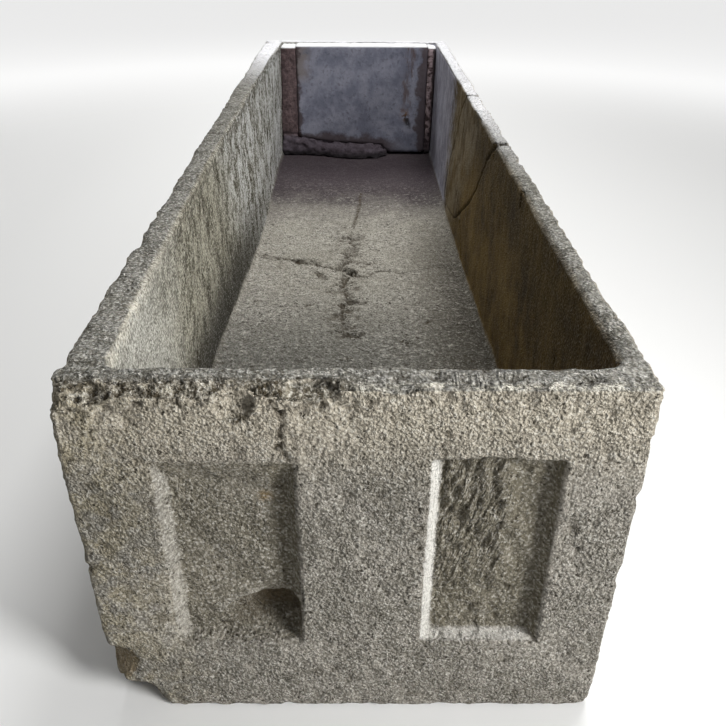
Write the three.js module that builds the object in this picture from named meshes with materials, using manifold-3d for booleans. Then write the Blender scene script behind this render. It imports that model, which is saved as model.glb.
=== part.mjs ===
// A limestone sarcophagus trough, hewn from one block, broken across and put together again.
// The near end wall has two sunken panels, and a second slab stands in mortar inside the far end.
// Millimetres. +Y runs from the panelled end to the far end, +X to the right, +Z up.
// The origin is at the middle of the underside.
import * as THREE from 'three';
import { mergeVertices } from 'three/addons/utils/BufferGeometryUtils.js';
import Module from 'manifold-3d';

const wasm = await Module();
wasm.setup();

// The block
const length = 2314;
const nearWidth = 656;
const farWidth = 656;
const height = 532;
const arrisRound = 6;

// The trough hewn into it: the walls at the rim, at both ends and half way along
const leftWallNear = 57;
const leftWallMiddle = 48;
const leftWallFar = 68;
const rightWallNear = 36;
const rightWallMiddle = 38;
const rightWallFar = 44;
const nearWall = 51;
const farWall = 36;
const floorThickness = 148;
const troughRound = 13;

// How far the foot of each wall stands in from its rim, and by how much that swings along it
const leftFootIn = 3;
const leftFootSwing = 12;
const rightFootIn = 10;
const rightFootSwing = 6;
const footBowShare = 0.6;
const footBowSpanShare = 0.7;

// Wear of the stone: how deep it goes, and how far apart its swells are
const faceWear = 2;
const rimWear = 3;
const troughWear = 5;
const swellAlong = 410;
const swellAcross = 270;
const rippleAlong = 128;
const rippleAcross = 96;

// The two sunken panels of the near end
const panelFoot = 135;
const panelHeight = 301;
const panelDepth = 20;
const leftPanelIn = 99;
const leftPanelWidth = 162;
const rightPanelIn = 91;
const rightPanelWidth = 153;
const steepBevel = 7;
const plainBevel = 13;
const wornBevel = 40;

// Broken-out and worn-out places: each is cut by a rough lump of about this size
const chipSize = 48;

// The break across the trough, and the wedge that came out of the right wall
const breakRough = 7;
const wedgeRough = 4;

// The second slab, and the mortar that holds it
const slabThickness = 70;
const slabArris = 3;
const slabTopDrop = 3;
const slabFootGap = 7;
const slabRaise = 36;
const leftJoint = 52;
const rightJoint = 29;
const backJoint = 8;
const mortarSink = 5;
const mortarTopDrop = 6;
const mortarRise = 7;
const mortarReach = 62;
const mortarRough = 4;

// Clearance between pieces that touch, and how far a cut runs past what it cuts
const clearance = 0.3;
const overrun = 40;

const nearFace = -length / 2;
const farFace = length / 2;
const halfWidest = Math.max(nearWidth, farWidth) / 2;
const troughNear = nearFace + nearWall;
const troughFar = farFace - farWall;
const slabBack = troughFar - backJoint;
const slabFace = slabBack - slabThickness;

function alongAt(share) {
  return nearFace + length * share;
}

function halfWidthAt(y) {
  return THREE.MathUtils.mapLinear(y, nearFace, farFace, nearWidth, farWidth) / 2;
}

// A side wall's thickness at its rim: it bows from the near end over the middle to the far end.
function wallAt(y, near, middle, far) {
  const share = (y - nearFace) / length;
  const rest = 1 - share;
  return near * rest * (rest - share) + middle * 4 * share * rest + far * share * (share - rest);
}

function leftInnerAt(y) {
  return wallAt(y, leftWallNear, leftWallMiddle, leftWallFar) - halfWidthAt(y);
}

function rightInnerAt(y) {
  return halfWidthAt(y) - wallAt(y, rightWallNear, rightWallMiddle, rightWallFar);
}

// How far a wall's foot stands in here: furthest at the bow, least half a span away from it.
function footInAt(y, mean, swing) {
  const turn = (y - alongAt(footBowShare)) / (length * footBowSpanShare) * 2 * Math.PI;
  return mean + swing * Math.cos(turn);
}

// A height up the inside of the wall, from the trough's floor at 0 to the rim at 1.
function upWall(share) {
  return floorThickness + (height - floorThickness) * share;
}

// The height of one place of a worn face, from 0 to 1: long swells with shorter ripples on them.
function swell(x, y, z) {
  const long = Math.sin(y / swellAlong * 5 + Math.sin(x / swellAcross * 4 + z / swellAcross * 3));
  const cross = Math.sin(x / swellAcross * 6 - z / swellAcross * 5 + Math.cos(y / swellAlong * 7));
  const ripple = Math.sin(y / rippleAlong * 6 + 2 * Math.sin(z / rippleAcross + x / rippleAcross));
  return 0.5 + 0.2 * long + 0.16 * cross + 0.14 * ripple;
}

// The same, much rougher: the face of a break, from -1 to 1.
function crag(a, b) {
  const first = Math.sin(a / rippleAcross * 5 + 2 * Math.sin(b / rippleAcross * 4));
  const second = Math.sin(b / rippleAcross * 9 - a / rippleAcross * 11);
  return 0.6 * first + 0.4 * second;
}

// A closed solid from a three.js geometry.
function solidOf(geometry) {
  geometry.deleteAttribute('normal');
  geometry.deleteAttribute('uv');
  const welded = mergeVertices(geometry);
  return new wasm.Manifold(new wasm.Mesh({
    numProp: 3,
    vertProperties: Float32Array.from(welded.attributes.position.array),
    triVerts: Uint32Array.from(welded.index.array),
  }));
}

// Where the grid line with this share lies between low and high, with two faces on each round.
function gridLine(share, faces, low, high, round) {
  const line = Math.round(share * faces);
  if (line <= 2) return low + round * line / 2;
  if (line >= faces - 2) return high - round * (faces - line) / 2;
  return THREE.MathUtils.mapLinear(line, 2, faces - 2, low + round, high - round);
}

// A box of many faces from low to high with rounded edges. Each point then goes where place
// sends it: place is given the point and the way out of the surface there.
function hewnBox(low, high, faces, round, place) {
  const geometry = new THREE.BoxGeometry(1, 1, 1, faces.x, faces.y, faces.z);
  const points = geometry.attributes.position;
  const lowRound = low.clone().addScalar(round);
  const highRound = high.clone().subScalar(round);
  for (let i = 0; i < points.count; i += 1) {
    const point = new THREE.Vector3(
      gridLine(points.getX(i) + 0.5, faces.x, low.x, high.x, round),
      gridLine(points.getY(i) + 0.5, faces.y, low.y, high.y, round),
      gridLine(points.getZ(i) + 0.5, faces.z, low.z, high.z, round),
    );
    const core = point.clone().clamp(lowRound, highRound);
    const out = point.clone().sub(core).normalize();
    point.copy(core).addScaledVector(out, round);
    place(point, out);
    points.setXYZ(i, point.x, point.y, point.z);
  }
  return solidOf(geometry);
}

// The block before the trough is hewn into it. All its faces but the underside are worn.
function blockSolid() {
  const low = new THREE.Vector3(-nearWidth / 2, nearFace, 0);
  const high = new THREE.Vector3(nearWidth / 2, farFace, height);
  return hewnBox(low, high, { x: 11, y: 34, z: 9 }, arrisRound, (point, out) => {
    const narrowing = halfWidthAt(point.y) / halfWidthAt(nearFace);
    if (out.z > -0.9) {
      const depth = THREE.MathUtils.lerp(faceWear, rimWear, Math.max(out.z, 0));
      point.addScaledVector(out, -depth * swell(point.x, point.y, point.z));
    }
    point.x *= narrowing;
  });
}

// The hollow of the trough. Its walls draw in by the given amount, for what stands inside it.
function troughSolid(drawIn) {
  const half = nearWidth / 2;
  const low = new THREE.Vector3(-half, troughNear + drawIn, floorThickness + drawIn);
  const high = new THREE.Vector3(half, troughFar - drawIn, height + overrun);
  return hewnBox(low, high, { x: 9, y: 30, z: 8 }, troughRound, (point, out) => {
    const share = (point.x + half) / nearWidth;
    const sunk = THREE.MathUtils.smoothstep(height - point.z, 0, height - floorThickness);
    const left = leftInnerAt(point.y) + sunk * footInAt(point.y, leftFootIn, leftFootSwing) + drawIn;
    const right = rightInnerAt(point.y) - sunk * footInAt(point.y, rightFootIn, rightFootSwing) - drawIn;
    point.x = THREE.MathUtils.lerp(left, right, share);
    const calm = THREE.MathUtils.smoothstep(slabFace - point.y, 0, swellAcross);
    const depth = troughWear * calm * swell(point.y, point.x, point.z);
    point.addScaledVector(out, depth);
  });
}

// A sunken panel with a bevel of its own on each side: left, right, foot and head.
function panelSolid(left, width, bevels, deepShare) {
  const geometry = new THREE.BoxGeometry(1, 1, 1, 6, 2, 7);
  const points = geometry.attributes.position;
  for (let i = 0; i < points.count; i += 1) {
    const across = points.getX(i) + 0.5;
    const up = points.getZ(i) + 0.5;
    const step = Math.round(points.getY(i) * 2);
    const inset = Math.max(step, 0);
    const x = THREE.MathUtils.lerp(left + bevels[0] * inset, left + width - bevels[1] * inset, across);
    const foot = panelFoot + bevels[2] * inset;
    const head = panelFoot + panelHeight - bevels[3] * inset;
    const z = THREE.MathUtils.lerp(foot, head, up);
    const extra = 1 + deepShare * across * (1 - up) + 0.12 * crag(x, z);
    const floor = nearFace + panelDepth * extra;
    const y = step < 0 ? nearFace - overrun : (step > 0 ? floor : nearFace + faceWear / 2);
    points.setXYZ(i, x, y, z);
  }
  return solidOf(geometry);
}

// A rough lump that breaks a place out of the stone. Its middle is at a height and at shares of the
// half width and the length, its half sizes are shares of the chip size, and it leans.
function lumpSolid(acrossShare, alongShare, z, [wideShare, runShare, deepShare], lean) {
  const geometry = new THREE.IcosahedronGeometry(1, 1);
  const y = alongAt(alongShare);
  const place = new THREE.Matrix4().compose(
    new THREE.Vector3(halfWidthAt(y) * acrossShare, y, z),
    new THREE.Quaternion().setFromEuler(new THREE.Euler(lean / 2, lean / 3, lean)),
    new THREE.Vector3(wideShare, runShare, deepShare).multiplyScalar(chipSize),
  );
  return solidOf(geometry.applyMatrix4(place));
}

// The worn left part of the near rim, then chips in that rim, in the corners and along the foot and
// the side rims: shares of the half width, the length and the height, the lump's half sizes, its lean.
const chipShares = [
  [-0.52, 0.0, 1.0, [3.3, 0.36, 0.24], 0],
  [-0.86, 0.001, 1.0, [0.5, 0.34, 0.4], 0.3],
  [-0.395, -0.001, 0.975, [0.46, 0.36, 0.7], 0.2],
  [-0.165, 0.003, 1.0, [0.75, 0.42, 0.34], 0.2],
  [0.13, 0.002, 1.01, [0.5, 0.34, 0.24], 0.4],
  [0.48, 0.012, 1.015, [1.1, 0.3, 0.24], 0.1],
  [-1.02, 0.003, 0.985, [0.4, 0.42, 0.7], 0.6],
  [-1.03, 0.028, 1.0, [0.42, 0.5, 0.4], 0.3],
  [-1.03, -0.001, 0.13, [0.5, 0.58, 1.4], 0.2],
  [-0.95, -0.003, 0.02, [1.25, 0.7, 1.05], 0],
  [-1.03, 0.3, 0.0, [0.46, 1.6, 0.36], 0.1],
  [1.035, 0.255, 1.0, [0.36, 0.5, 0.34], -0.1],
  [1.03, 0.356, 1.0, [0.48, 0.6, 0.4], 0.2],
  [0.9, 0.408, 1.01, [0.44, 0.36, 0.34], 0.2],
  [1.03, 0.44, 0.99, [0.34, 0.95, 0.36], 0.1],
  [1.03, 0.6, 1.005, [0.34, 1.0, 0.3], 0.1],
  [1.03, 0.82, 1.01, [0.3, 0.8, 0.3], -0.2],
  [-1.03, 0.176, 1.0, [0.52, 0.8, 0.42], 0.1],
  [-1.035, 0.225, 0.995, [0.4, 0.6, 0.4], 0.3],
  [-1.035, 0.34, 1.01, [0.34, 0.7, 0.34], -0.2],
  [-1.035, 0.55, 1.01, [0.3, 0.7, 0.3], -0.3],
  [-1.03, 0.83, 1.005, [0.3, 1.0, 0.3], 0.2],
  [-1.02, 0.985, 1.0, [0.46, 0.6, 0.4], 0.3],
];

// The hollow worn low in the left panel's floor: where its middle is, as shares of the panel's
// width and height, and its half sizes and lean.
const panelHollowShares = [0.76, 0.17, [0.7, 0.24, 0.85], 0];

// Places worn out of the trough's floor, along its middle and at the break: shares of the half
// width and the length, then the lump's half sizes and its lean.
const hollowShares = [
  [-0.417, 0.5247, [0.7, 0.36, 0.24], 0.25],
  [-0.037, 0.498, [0.3, 0.46, 0.32], 0.2],
  [-0.02, 0.545, [0.24, 1.5, 0.14], 0.03],
  [0.0, 0.604, [0.2, 0.4, 0.2], 0.1],
  [-0.03, 0.455, [0.3, 1.3, 0.14], -0.05],
  [-0.028, 0.421, [0.22, 0.5, 0.2], -0.1],
  [-0.02, 0.351, [0.5, 0.3, 0.16], 0.3],
  [-0.3, 0.475, [0.22, 0.9, 0.12], -0.5],
];

function panelHollow() {
  const [across, up, sizes, lean] = panelHollowShares;
  const x = leftPanelIn - nearWidth / 2 + leftPanelWidth * across;
  return lumpSolid(x / halfWidthAt(nearFace), panelDepth / length, panelFoot + panelHeight * up, sizes, lean);
}

// The break across the trough: shares of the half width, and of the length where it runs.
const breakShares = [
  [-1.3, 0.547], [-0.88, 0.543], [-0.785, 0.541], [-0.715, 0.5325], [-0.613, 0.527], [-0.534, 0.5325],
  [-0.3, 0.513], [-0.2, 0.504], [-0.1, 0.499], [0.01, 0.491], [0.075, 0.48], [0.15, 0.4905],
  [0.185, 0.502], [0.35, 0.494], [0.405, 0.496], [0.675, 0.51], [0.88, 0.512], [1.3, 0.535],
];

// It leans this much of the length towards the far end, over the whole height of a wall.
const leftLeanShare = 0.008;
const rightLeanShare = 0.184;
const rightLeanEndShare = 0.35;

function betweenShares(table, at) {
  const next = Math.max(table.findIndex(([from]) => from >= at), 1);
  const [fromLow, low] = table[next - 1];
  const [fromHigh, high] = table[next];
  return THREE.MathUtils.mapLinear(at, fromLow, fromHigh, low, high);
}

function breakAt(x, z) {
  const side = THREE.MathUtils.clamp(x / halfWidthAt(0), breakShares[0][0], breakShares.at(-1)[0]);
  const climb = Math.max(z - floorThickness, 0) / (height - floorThickness);
  const leftPart = THREE.MathUtils.smoothstep(-side, 0.6, 0.85) * leftLeanShare * climb;
  const rightClimb = Math.min(climb, rightLeanEndShare);
  const rightPart = THREE.MathUtils.smoothstep(side, 0.6, 0.85) * rightLeanShare * rightClimb;
  return alongAt(betweenShares(breakShares, side) + leftPart + rightPart) + breakRough * crag(x, z);
}

// All that lies beyond the break, with its face moved along by the given shift.
function beyondBreak(shift) {
  const geometry = new THREE.BoxGeometry(1, 1, 1, 26, 1, 14);
  const points = geometry.attributes.position;
  const half = halfWidest + overrun;
  for (let i = 0; i < points.count; i += 1) {
    const x = points.getX(i) * 2 * half;
    const z = THREE.MathUtils.lerp(-overrun, height + overrun, points.getZ(i) + 0.5);
    const y = points.getY(i) < 0 ? breakAt(x, z) + shift : farFace + overrun;
    points.setXYZ(i, x, y, z);
  }
  return solidOf(geometry);
}

// The wedge broken out of the right wall: shares of the length, and of the height up the wall.
const wedgeShares = [
  [0.385, 1.2], [0.404, 1.0], [0.444, 0.84], [0.459, 0.745], [0.48, 0.59], [0.518, 0.41],
  [0.585, 0.175], [0.61, 0.115], [0.69, 0.055], [0.712, 0.06], [0.717, 0.12], [0.702, 0.345],
  [0.67, 0.595], [0.641, 0.86], [0.606, 1.0], [0.595, 1.2],
];

// An outline with its corners listed anticlockwise, drawn in by this much.
function drawnIn(corners, amount) {
  return corners.map((corner, i) => {
    const before = corners[(i + corners.length - 1) % corners.length];
    const after = corners[(i + 1) % corners.length];
    const edge = after.clone().sub(before).normalize();
    return corner.clone().add(new THREE.Vector2(-edge.y, edge.x).multiplyScalar(amount));
  });
}

// The wedge's solid, cut through the wall, with its outline drawn in by the given amount.
function wedgeSolid(shrink) {
  const corners = wedgeShares.map(([along, up]) => new THREE.Vector2(alongAt(along), upWall(up)));
  const outline = drawnIn(corners, shrink);
  const start = rightInnerAt(farFace) - rightWallFar;
  const end = halfWidest + overrun;
  const steps = 5;
  const geometry = new THREE.ExtrudeGeometry(new THREE.Shape(outline), {
    depth: end - start, steps, bevelEnabled: false,
  });
  const points = geometry.attributes.position;
  for (let i = 0; i < points.count; i += 1) {
    const along = points.getX(i);
    const up = points.getY(i);
    const across = start + points.getZ(i);
    const shift = wedgeRough * crag(across * 2, along / 2 + up);
    points.setXYZ(i, across, along + shift, up + shift / 2);
  }
  return solidOf(geometry);
}

// The second slab's outline across the trough, seen from the near end: its foot is broken off
// at a slant on the left, where the mortar bed is deep, and hangs just clear on the right.
const slabLeft = leftInnerAt(slabFace) + leftJoint;
const slabRight = rightInnerAt(slabFace) - rightJoint;
const slabTop = height - slabTopDrop;
const slabFoot = floorThickness + slabFootGap;
const slabFootShares = [[0, 1.6], [0.17, 1.15], [0.35, 0.95], [0.66, 0.75], [0.69, 0.2], [0.73, 0], [1, 0]];

function slabOutline() {
  const foot = slabFootShares.map(([across, raise]) => new THREE.Vector2(
    THREE.MathUtils.lerp(slabLeft, slabRight, across),
    slabFoot + slabRaise * raise,
  ));
  return [...foot, new THREE.Vector2(slabRight, slabTop), new THREE.Vector2(slabLeft, slabTop)];
}

// A plate with this outline across the trough, standing from one place along it to another.
function uprightPlate(outline, from, to, arris) {
  const geometry = new THREE.ExtrudeGeometry(new THREE.Shape(outline), {
    depth: to - from - 2 * arris,
    bevelEnabled: arris > 0,
    bevelSize: arris,
    bevelOffset: -arris,
    bevelThickness: arris,
    bevelSegments: 1,
  });
  geometry.rotateX(Math.PI / 2);
  geometry.translate(0, to - arris, 0);
  return solidOf(geometry);
}

// The slab, or with a clearance the room that it takes in the mortar.
function slabSolid(grown) {
  return uprightPlate(drawnIn(slabOutline(), -grown), slabFace - grown, slabBack + grown, slabArris);
}

// Mortar with a rough front that fills the trough from one side to another and up to a height.
function mortarSolid(left, right, from, to, foot, top) {
  const low = new THREE.Vector3(left, from, foot);
  const high = new THREE.Vector3(right, to, top);
  const faces = { x: 6, y: 5, z: 14 };
  return hewnBox(low, high, faces, mortarRough, (point, out) => {
    if (out.y < 0) point.y += mortarRough * swell(point.z * 3, point.x * 4, point.z * 2) * -out.y;
    if (out.z > 0) point.z -= mortarRough * swell(point.x * 5, point.y * 4, point.z) * out.z;
  });
}

// The bed: mortar packed under the slab's broken foot, which slopes out over the floor in front of
// it. Shares along it give how high it stands, how far it reaches out and where it ends.
const bedShares = [[0, 1.6, 0.25], [0.17, 1.15, 0.5], [0.4, 0.95, 1.0], [0.66, 0.8, 0.85], [0.71, 0.3, 0.35]];

function bedSolid() {
  const geometry = new THREE.BoxGeometry(1, 1, 1, 12, 3, 4);
  const points = geometry.attributes.position;
  const start = slabLeft - leftJoint - overrun;
  const end = THREE.MathUtils.lerp(slabLeft, slabRight, bedShares.at(-1)[0]);
  for (let i = 0; i < points.count; i += 1) {
    const x = THREE.MathUtils.lerp(start, end, points.getX(i) + 0.5);
    const across = Math.max((x - slabLeft) / (slabRight - slabLeft), 0);
    const up = points.getZ(i) + 0.5;
    const rise = betweenShares(bedShares, across);
    const reach = betweenShares(bedShares.map(([at, , out]) => [at, out]), across);
    const top = slabFoot + slabRaise * rise + mortarRise;
    const foot = floorThickness - overrun;
    const climb = Math.max(up * (top - foot) - overrun, 0) / (top - floorThickness);
    const front = slabFace - mortarRough - mortarReach * reach * (1 - climb) ** 0.7;
    const rough = mortarRough * crag(x * 3, up * slabRaise * 2);
    const y = THREE.MathUtils.lerp(front + rough, slabBack, points.getY(i) + 0.5);
    points.setXYZ(i, x, y, foot + up * (top - foot));
  }
  return solidOf(geometry);
}

// The pieces, cut so that the faces of every break match and lie a clearance apart.
const roomInside = troughSolid(clearance);
const panels = [
  panelSolid(
    leftPanelIn - nearWidth / 2,
    leftPanelWidth,
    [plainBevel, plainBevel, steepBevel, wornBevel],
    0.3,
  ),
  panelSolid(
    nearWidth / 2 - rightPanelIn - rightPanelWidth,
    rightPanelWidth,
    [plainBevel, plainBevel, steepBevel, steepBevel],
    0,
  ),
  panelHollow(),
];
const chips = chipShares.map(([across, along, up, sizes, lean]) => (
  lumpSolid(across, along, height * up, sizes, lean)
));
const hollows = hollowShares.map(([across, along, sizes, lean]) => (
  lumpSolid(across, along, floorThickness, sizes, lean)
));
const cuts = [troughSolid(0), ...panels, ...chips, ...hollows];
const trough = cuts.reduce((stone, cut) => stone.subtract(cut), blockSolid());
const withoutWedge = trough.subtract(wedgeSolid(0));
const footBlock = withoutWedge.subtract(beyondBreak(-clearance));
const headBlock = withoutWedge.intersect(beyondBreak(0));
const wedge = trough.intersect(wedgeSolid(clearance));

const slab = slabSolid(0);
const slabRoom = slabSolid(clearance);
const stripFront = slabFace + mortarSink;
const stripTop = height - mortarTopDrop;
const bedTop = slabFoot + slabRaise * bedShares[0][1] + mortarRise;
const bed = bedSolid().intersect(roomInside).subtract(slabRoom);
const leftStrip = mortarSolid(
  slabLeft - leftJoint - overrun,
  slabLeft - clearance,
  stripFront,
  troughFar + overrun,
  bedTop + clearance,
  stripTop,
).intersect(roomInside);
const rightStrip = mortarSolid(
  slabRight + clearance,
  slabRight + rightJoint + overrun,
  stripFront,
  troughFar + overrun,
  floorThickness - overrun,
  stripTop,
).intersect(roomInside);
const backing = mortarSolid(
  slabLeft,
  slabRight,
  slabBack + clearance,
  troughFar + overrun,
  slabFoot + slabRaise,
  stripTop,
).intersect(roomInside);

// A named piece of the model, with its own material.
function piece(name, solid, colour, roughness) {
  const { vertProperties, triVerts } = solid.getMesh();
  const geometry = new THREE.BufferGeometry();
  geometry.setAttribute('position', new THREE.BufferAttribute(Float32Array.from(vertProperties), 3));
  geometry.setIndex(new THREE.BufferAttribute(Uint32Array.from(triVerts), 1));
  geometry.computeVertexNormals();
  const material = new THREE.MeshStandardMaterial({ color: colour, roughness, metalness: 0 });
  const mesh = new THREE.Mesh(geometry, material);
  mesh.name = name;
  return mesh;
}

const sarcophagus = new THREE.Group();
sarcophagus.add(piece('foot_block', footBlock, '#a39f8f', 0.92));
sarcophagus.add(piece('head_block', headBlock, '#9a968a', 0.92));
sarcophagus.add(piece('right_wall_fragment', wedge, '#7d735c', 0.92));
sarcophagus.add(piece('end_slab', slab, '#7c7d8a', 0.7));
sarcophagus.add(piece('mortar_left', leftStrip, '#5f4a40', 0.95));
sarcophagus.add(piece('mortar_right', rightStrip, '#5f4a40', 0.95));
sarcophagus.add(piece('mortar_bed', bed, '#6b5444', 0.95));
sarcophagus.add(piece('slab_back_bedding', backing, '#7a6a58', 0.95));

// The worn stone stands on its underside, with its middle over the origin.
const extent = new THREE.Box3().setFromObject(sarcophagus);
const middle = extent.getCenter(new THREE.Vector3());
sarcophagus.position.set(-middle.x, -middle.y, -extent.min.z);

export default sarcophagus;
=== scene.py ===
"""The looks of a stone sarcophagus: a hewn and broken limestone trough with a slab mortared in its far end.

Metres. +Y runs from the panelled end to the far end, +X to the right, +Z up.
"""
from math import radians

import bmesh
import bpy
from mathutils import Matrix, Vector, noise
from mathutils.bvhtree import BVHTree


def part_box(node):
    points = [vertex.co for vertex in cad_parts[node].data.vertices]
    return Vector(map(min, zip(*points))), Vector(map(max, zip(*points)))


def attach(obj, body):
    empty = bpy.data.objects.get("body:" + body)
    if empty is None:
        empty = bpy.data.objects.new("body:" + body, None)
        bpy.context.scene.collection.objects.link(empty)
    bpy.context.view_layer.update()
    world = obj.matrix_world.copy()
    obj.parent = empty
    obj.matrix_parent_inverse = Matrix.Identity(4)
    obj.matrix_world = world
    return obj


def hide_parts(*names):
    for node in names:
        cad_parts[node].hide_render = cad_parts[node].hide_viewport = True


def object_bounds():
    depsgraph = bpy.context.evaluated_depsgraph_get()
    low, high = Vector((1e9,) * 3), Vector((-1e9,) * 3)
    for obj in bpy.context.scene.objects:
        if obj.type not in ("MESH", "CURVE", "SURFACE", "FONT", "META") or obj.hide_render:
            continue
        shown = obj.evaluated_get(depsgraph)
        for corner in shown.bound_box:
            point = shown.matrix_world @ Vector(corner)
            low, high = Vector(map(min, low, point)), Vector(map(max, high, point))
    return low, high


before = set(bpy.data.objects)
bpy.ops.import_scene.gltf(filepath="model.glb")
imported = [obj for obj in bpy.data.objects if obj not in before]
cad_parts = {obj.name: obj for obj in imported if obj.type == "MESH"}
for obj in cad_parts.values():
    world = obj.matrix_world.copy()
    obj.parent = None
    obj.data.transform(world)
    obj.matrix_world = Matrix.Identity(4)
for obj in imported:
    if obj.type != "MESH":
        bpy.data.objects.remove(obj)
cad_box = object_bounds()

# The camera stands in front of the panelled end and looks down into the trough.
camera_data = bpy.data.cameras.new("camera")
camera_data.lens = 37.83
camera_data.sensor_width = 36
camera = bpy.data.objects.new("camera", camera_data)
camera.location = (0.0, -1.819, 0.9655)
camera.rotation_euler = (radians(58.76), radians(-0.35), radians(-0.475))
bpy.context.collection.objects.link(camera)
bpy.context.scene.camera = camera


# The trough: one block of porous limestone, hewn with points and chisels and worn ever since.
# It broke across its floor and walls, and a wedge came out of the right wall. The three
# stones are set back together, so their skins wear alike and the faces of the breaks match.
stone_nodes = ["foot_block", "head_block", "right_wall_fragment"]
painted_names = ["rim", "inner", "floor", "dirt", "pale", "shade"]
lowest, highest = cad_box
near_y = lowest.y
far_y = highest.y
rim_z = highest.z
half_width = highest.x
floor_z = 0.148
wall = 0.045
slab_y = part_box("end_slab")[0].y
break_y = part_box("head_block")[0].y

# How far back the near end's front and its whole wall go, how far down the rims are seen, and how
# steeply the line of sight over the near rim falls.
front_depth = 0.035
near_wall = 0.06
rim_depth = 0.03
sight_fall = 0.61

# The two panels sunk in the near end: their sides, foot and head, and how wide their arrises are.
left_panel = (-0.229, -0.067)
right_panel = (0.084, 0.237)
panel_foot = 0.135
panel_head = 0.436
arris = 0.003

# The crest of the left panel's broken ledge, and the slant of the mason's strokes in the right one.
ledge_crest = [
    (-0.187, 0.165), (-0.166, 0.182), (-0.150, 0.196), (-0.127, 0.202), (-0.085, 0.206), (-0.060, 0.206),
]
slant_sine = 0.29
slant_cosine = 0.957

# Marks that can be told apart: the line that each follows over its face, half its width and its depth.
front_marks = [
    ([(-0.089, 0.512), (-0.078, 0.488), (-0.082, 0.468), (-0.085, 0.452), (-0.074, 0.437)], 0.0042, 0.0045),
    ([(-0.080, 0.466), (-0.084, 0.452)], 0.0065, 0.006),
    ([(-0.224, 0.140), (-0.233, 0.085), (-0.235, 0.040)], 0.0018, 0.0009),
    ([(0.101, 0.476), (0.098, 0.456), (0.101, 0.442)], 0.0018, 0.0011),
    ([(0.077, 0.379), (0.079, 0.377)], 0.004, 0.006),
    ([(0.073, 0.364), (0.075, 0.363)], 0.0035, 0.005),
    ([(0.268, 0.302), (0.270, 0.300)], 0.004, 0.006),
    ([(0.259, 0.329), (0.261, 0.328)], 0.0035, 0.005),
    ([(0.192, 0.349), (0.193, 0.348)], 0.0035, 0.004),
    ([(0.183, 0.165), (0.185, 0.162)], 0.0045, 0.006),
    ([(0.195, 0.219), (0.197, 0.217)], 0.0035, 0.004),
    ([(0.178, 0.183), (0.180, 0.181)], 0.0035, 0.004),
    ([(0.195, 0.248), (0.214, 0.248)], 0.002, 0.0008),
    ([(0.079, 0.300), (0.084, 0.298)], 0.006, 0.005),
]
floor_marks = [
    ([(-0.252, 0.099), (-0.204, 0.079), (-0.163, 0.070)], 0.006, 0.006),
    ([(-0.163, 0.066), (-0.138, 0.061), (-0.112, 0.050), (-0.097, 0.036)], 0.011, 0.010),
    ([(-0.040, 0.012), (-0.003, -0.006)], 0.014, 0.015),
    ([(-0.026, -0.035), (-0.031, -0.100), (-0.018, -0.145)], 0.016, 0.011),
    ([(-0.100, -0.010), (-0.091, -0.026), (-0.077, -0.055)], 0.009, 0.009),
    ([(-0.068, -0.122), (-0.050, -0.143)], 0.007, 0.007),
    ([(-0.022, -0.170), (0.000, -0.178), (0.020, -0.188)], 0.010, 0.009),
    ([(-0.034, -0.190), (-0.029, -0.243), (-0.028, -0.292)], 0.008, 0.007),
    ([(-0.042, -0.320), (-0.022, -0.330), (-0.010, -0.344), (0.014, -0.339)], 0.009, 0.007),
    ([(-0.020, 0.230), (0.012, 0.238)], 0.013, 0.009),
    ([(-0.014, 0.200), (0.002, 0.150), (-0.006, 0.110)], 0.012, 0.008),
    ([(0.018, 0.600), (0.014, 0.500), (0.004, 0.400), (-0.004, 0.300)], 0.007, 0.003),
    ([(-0.020, 0.110), (-0.026, 0.060), (-0.027, 0.030)], 0.013, 0.009),
    ([(0.030, 0.040), (0.050, 0.048)], 0.008, 0.006),
    ([(0.162, -0.285), (0.180, -0.273)], 0.006, 0.005),
    ([(0.100, -0.368), (0.118, -0.386)], 0.007, 0.006),
    ([(-0.021, -0.446), (-0.003, -0.441)], 0.006, 0.005),
    ([(-0.117, -0.204), (-0.098, -0.196)], 0.006, 0.004),
]
left_wall_marks = [
    ([(-0.604, 0.253), (-0.602, 0.226)], 0.009, 0.007),
]
right_wall_marks = [
    ([(0.241, 0.468), (0.255, 0.420), (0.269, 0.369), (0.274, 0.301)], 0.004, 0.003),
    ([(-0.855, 0.398), (-0.861, 0.372)], 0.003, 0.004),
]
rim_marks = [
    ([(0.083, -1.130), (0.090, -1.129)], 0.009, 0.009),
    ([(0.046, -1.130), (0.052, -1.129)], 0.007, 0.006),
    ([(0.165, -1.130), (0.176, -1.129)], 0.007, 0.006),
    ([(0.240, -1.135), (0.256, -1.133)], 0.012, 0.009),
    ([(-0.326, -0.141), (-0.278, -0.128)], 0.005, 0.005),
    ([(-0.326, 0.112), (-0.276, 0.106)], 0.005, 0.005),
    ([(0.290, 0.080), (0.330, 0.080)], 0.004, 0.004),
    ([(0.290, -0.205), (0.330, -0.210)], 0.008, 0.007),
    ([(0.295, -0.510), (0.330, -0.500)], 0.006, 0.004),
    ([(0.318, -0.992), (0.322, -0.986)], 0.006, 0.008),
]
# The lower left corner is broken off: the middles of the two bites and how far each reaches.
corner_bites = [
    (Vector((-0.334, -1.163, -0.006)), Vector((0.068, 0.056, 0.068))),
    (Vector((-0.349, -1.176, 0.097)), Vector((0.066, 0.050, 0.046))),
]

# The coarse cells. They are halved in sight and this near a break, and halved again close by and
# this near a break inside.
coarse_cell = 0.0139
fine_reach = 0.012
finest_reach = 0.008

# How close the stones' faces are where they touch, and the widest gap between stones that counts.
touching = 0.0008
widest_gap = 0.05

# How far round a mark the finest cells go.
mark_margin = 0.008


def smooth_step(value, start, end):
    """0 before start and 1 after end, or the other way round if end comes first."""
    t = min(max((value - start) / (end - start), 0.0), 1.0)
    return t * t * (3 - 2 * t)


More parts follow.
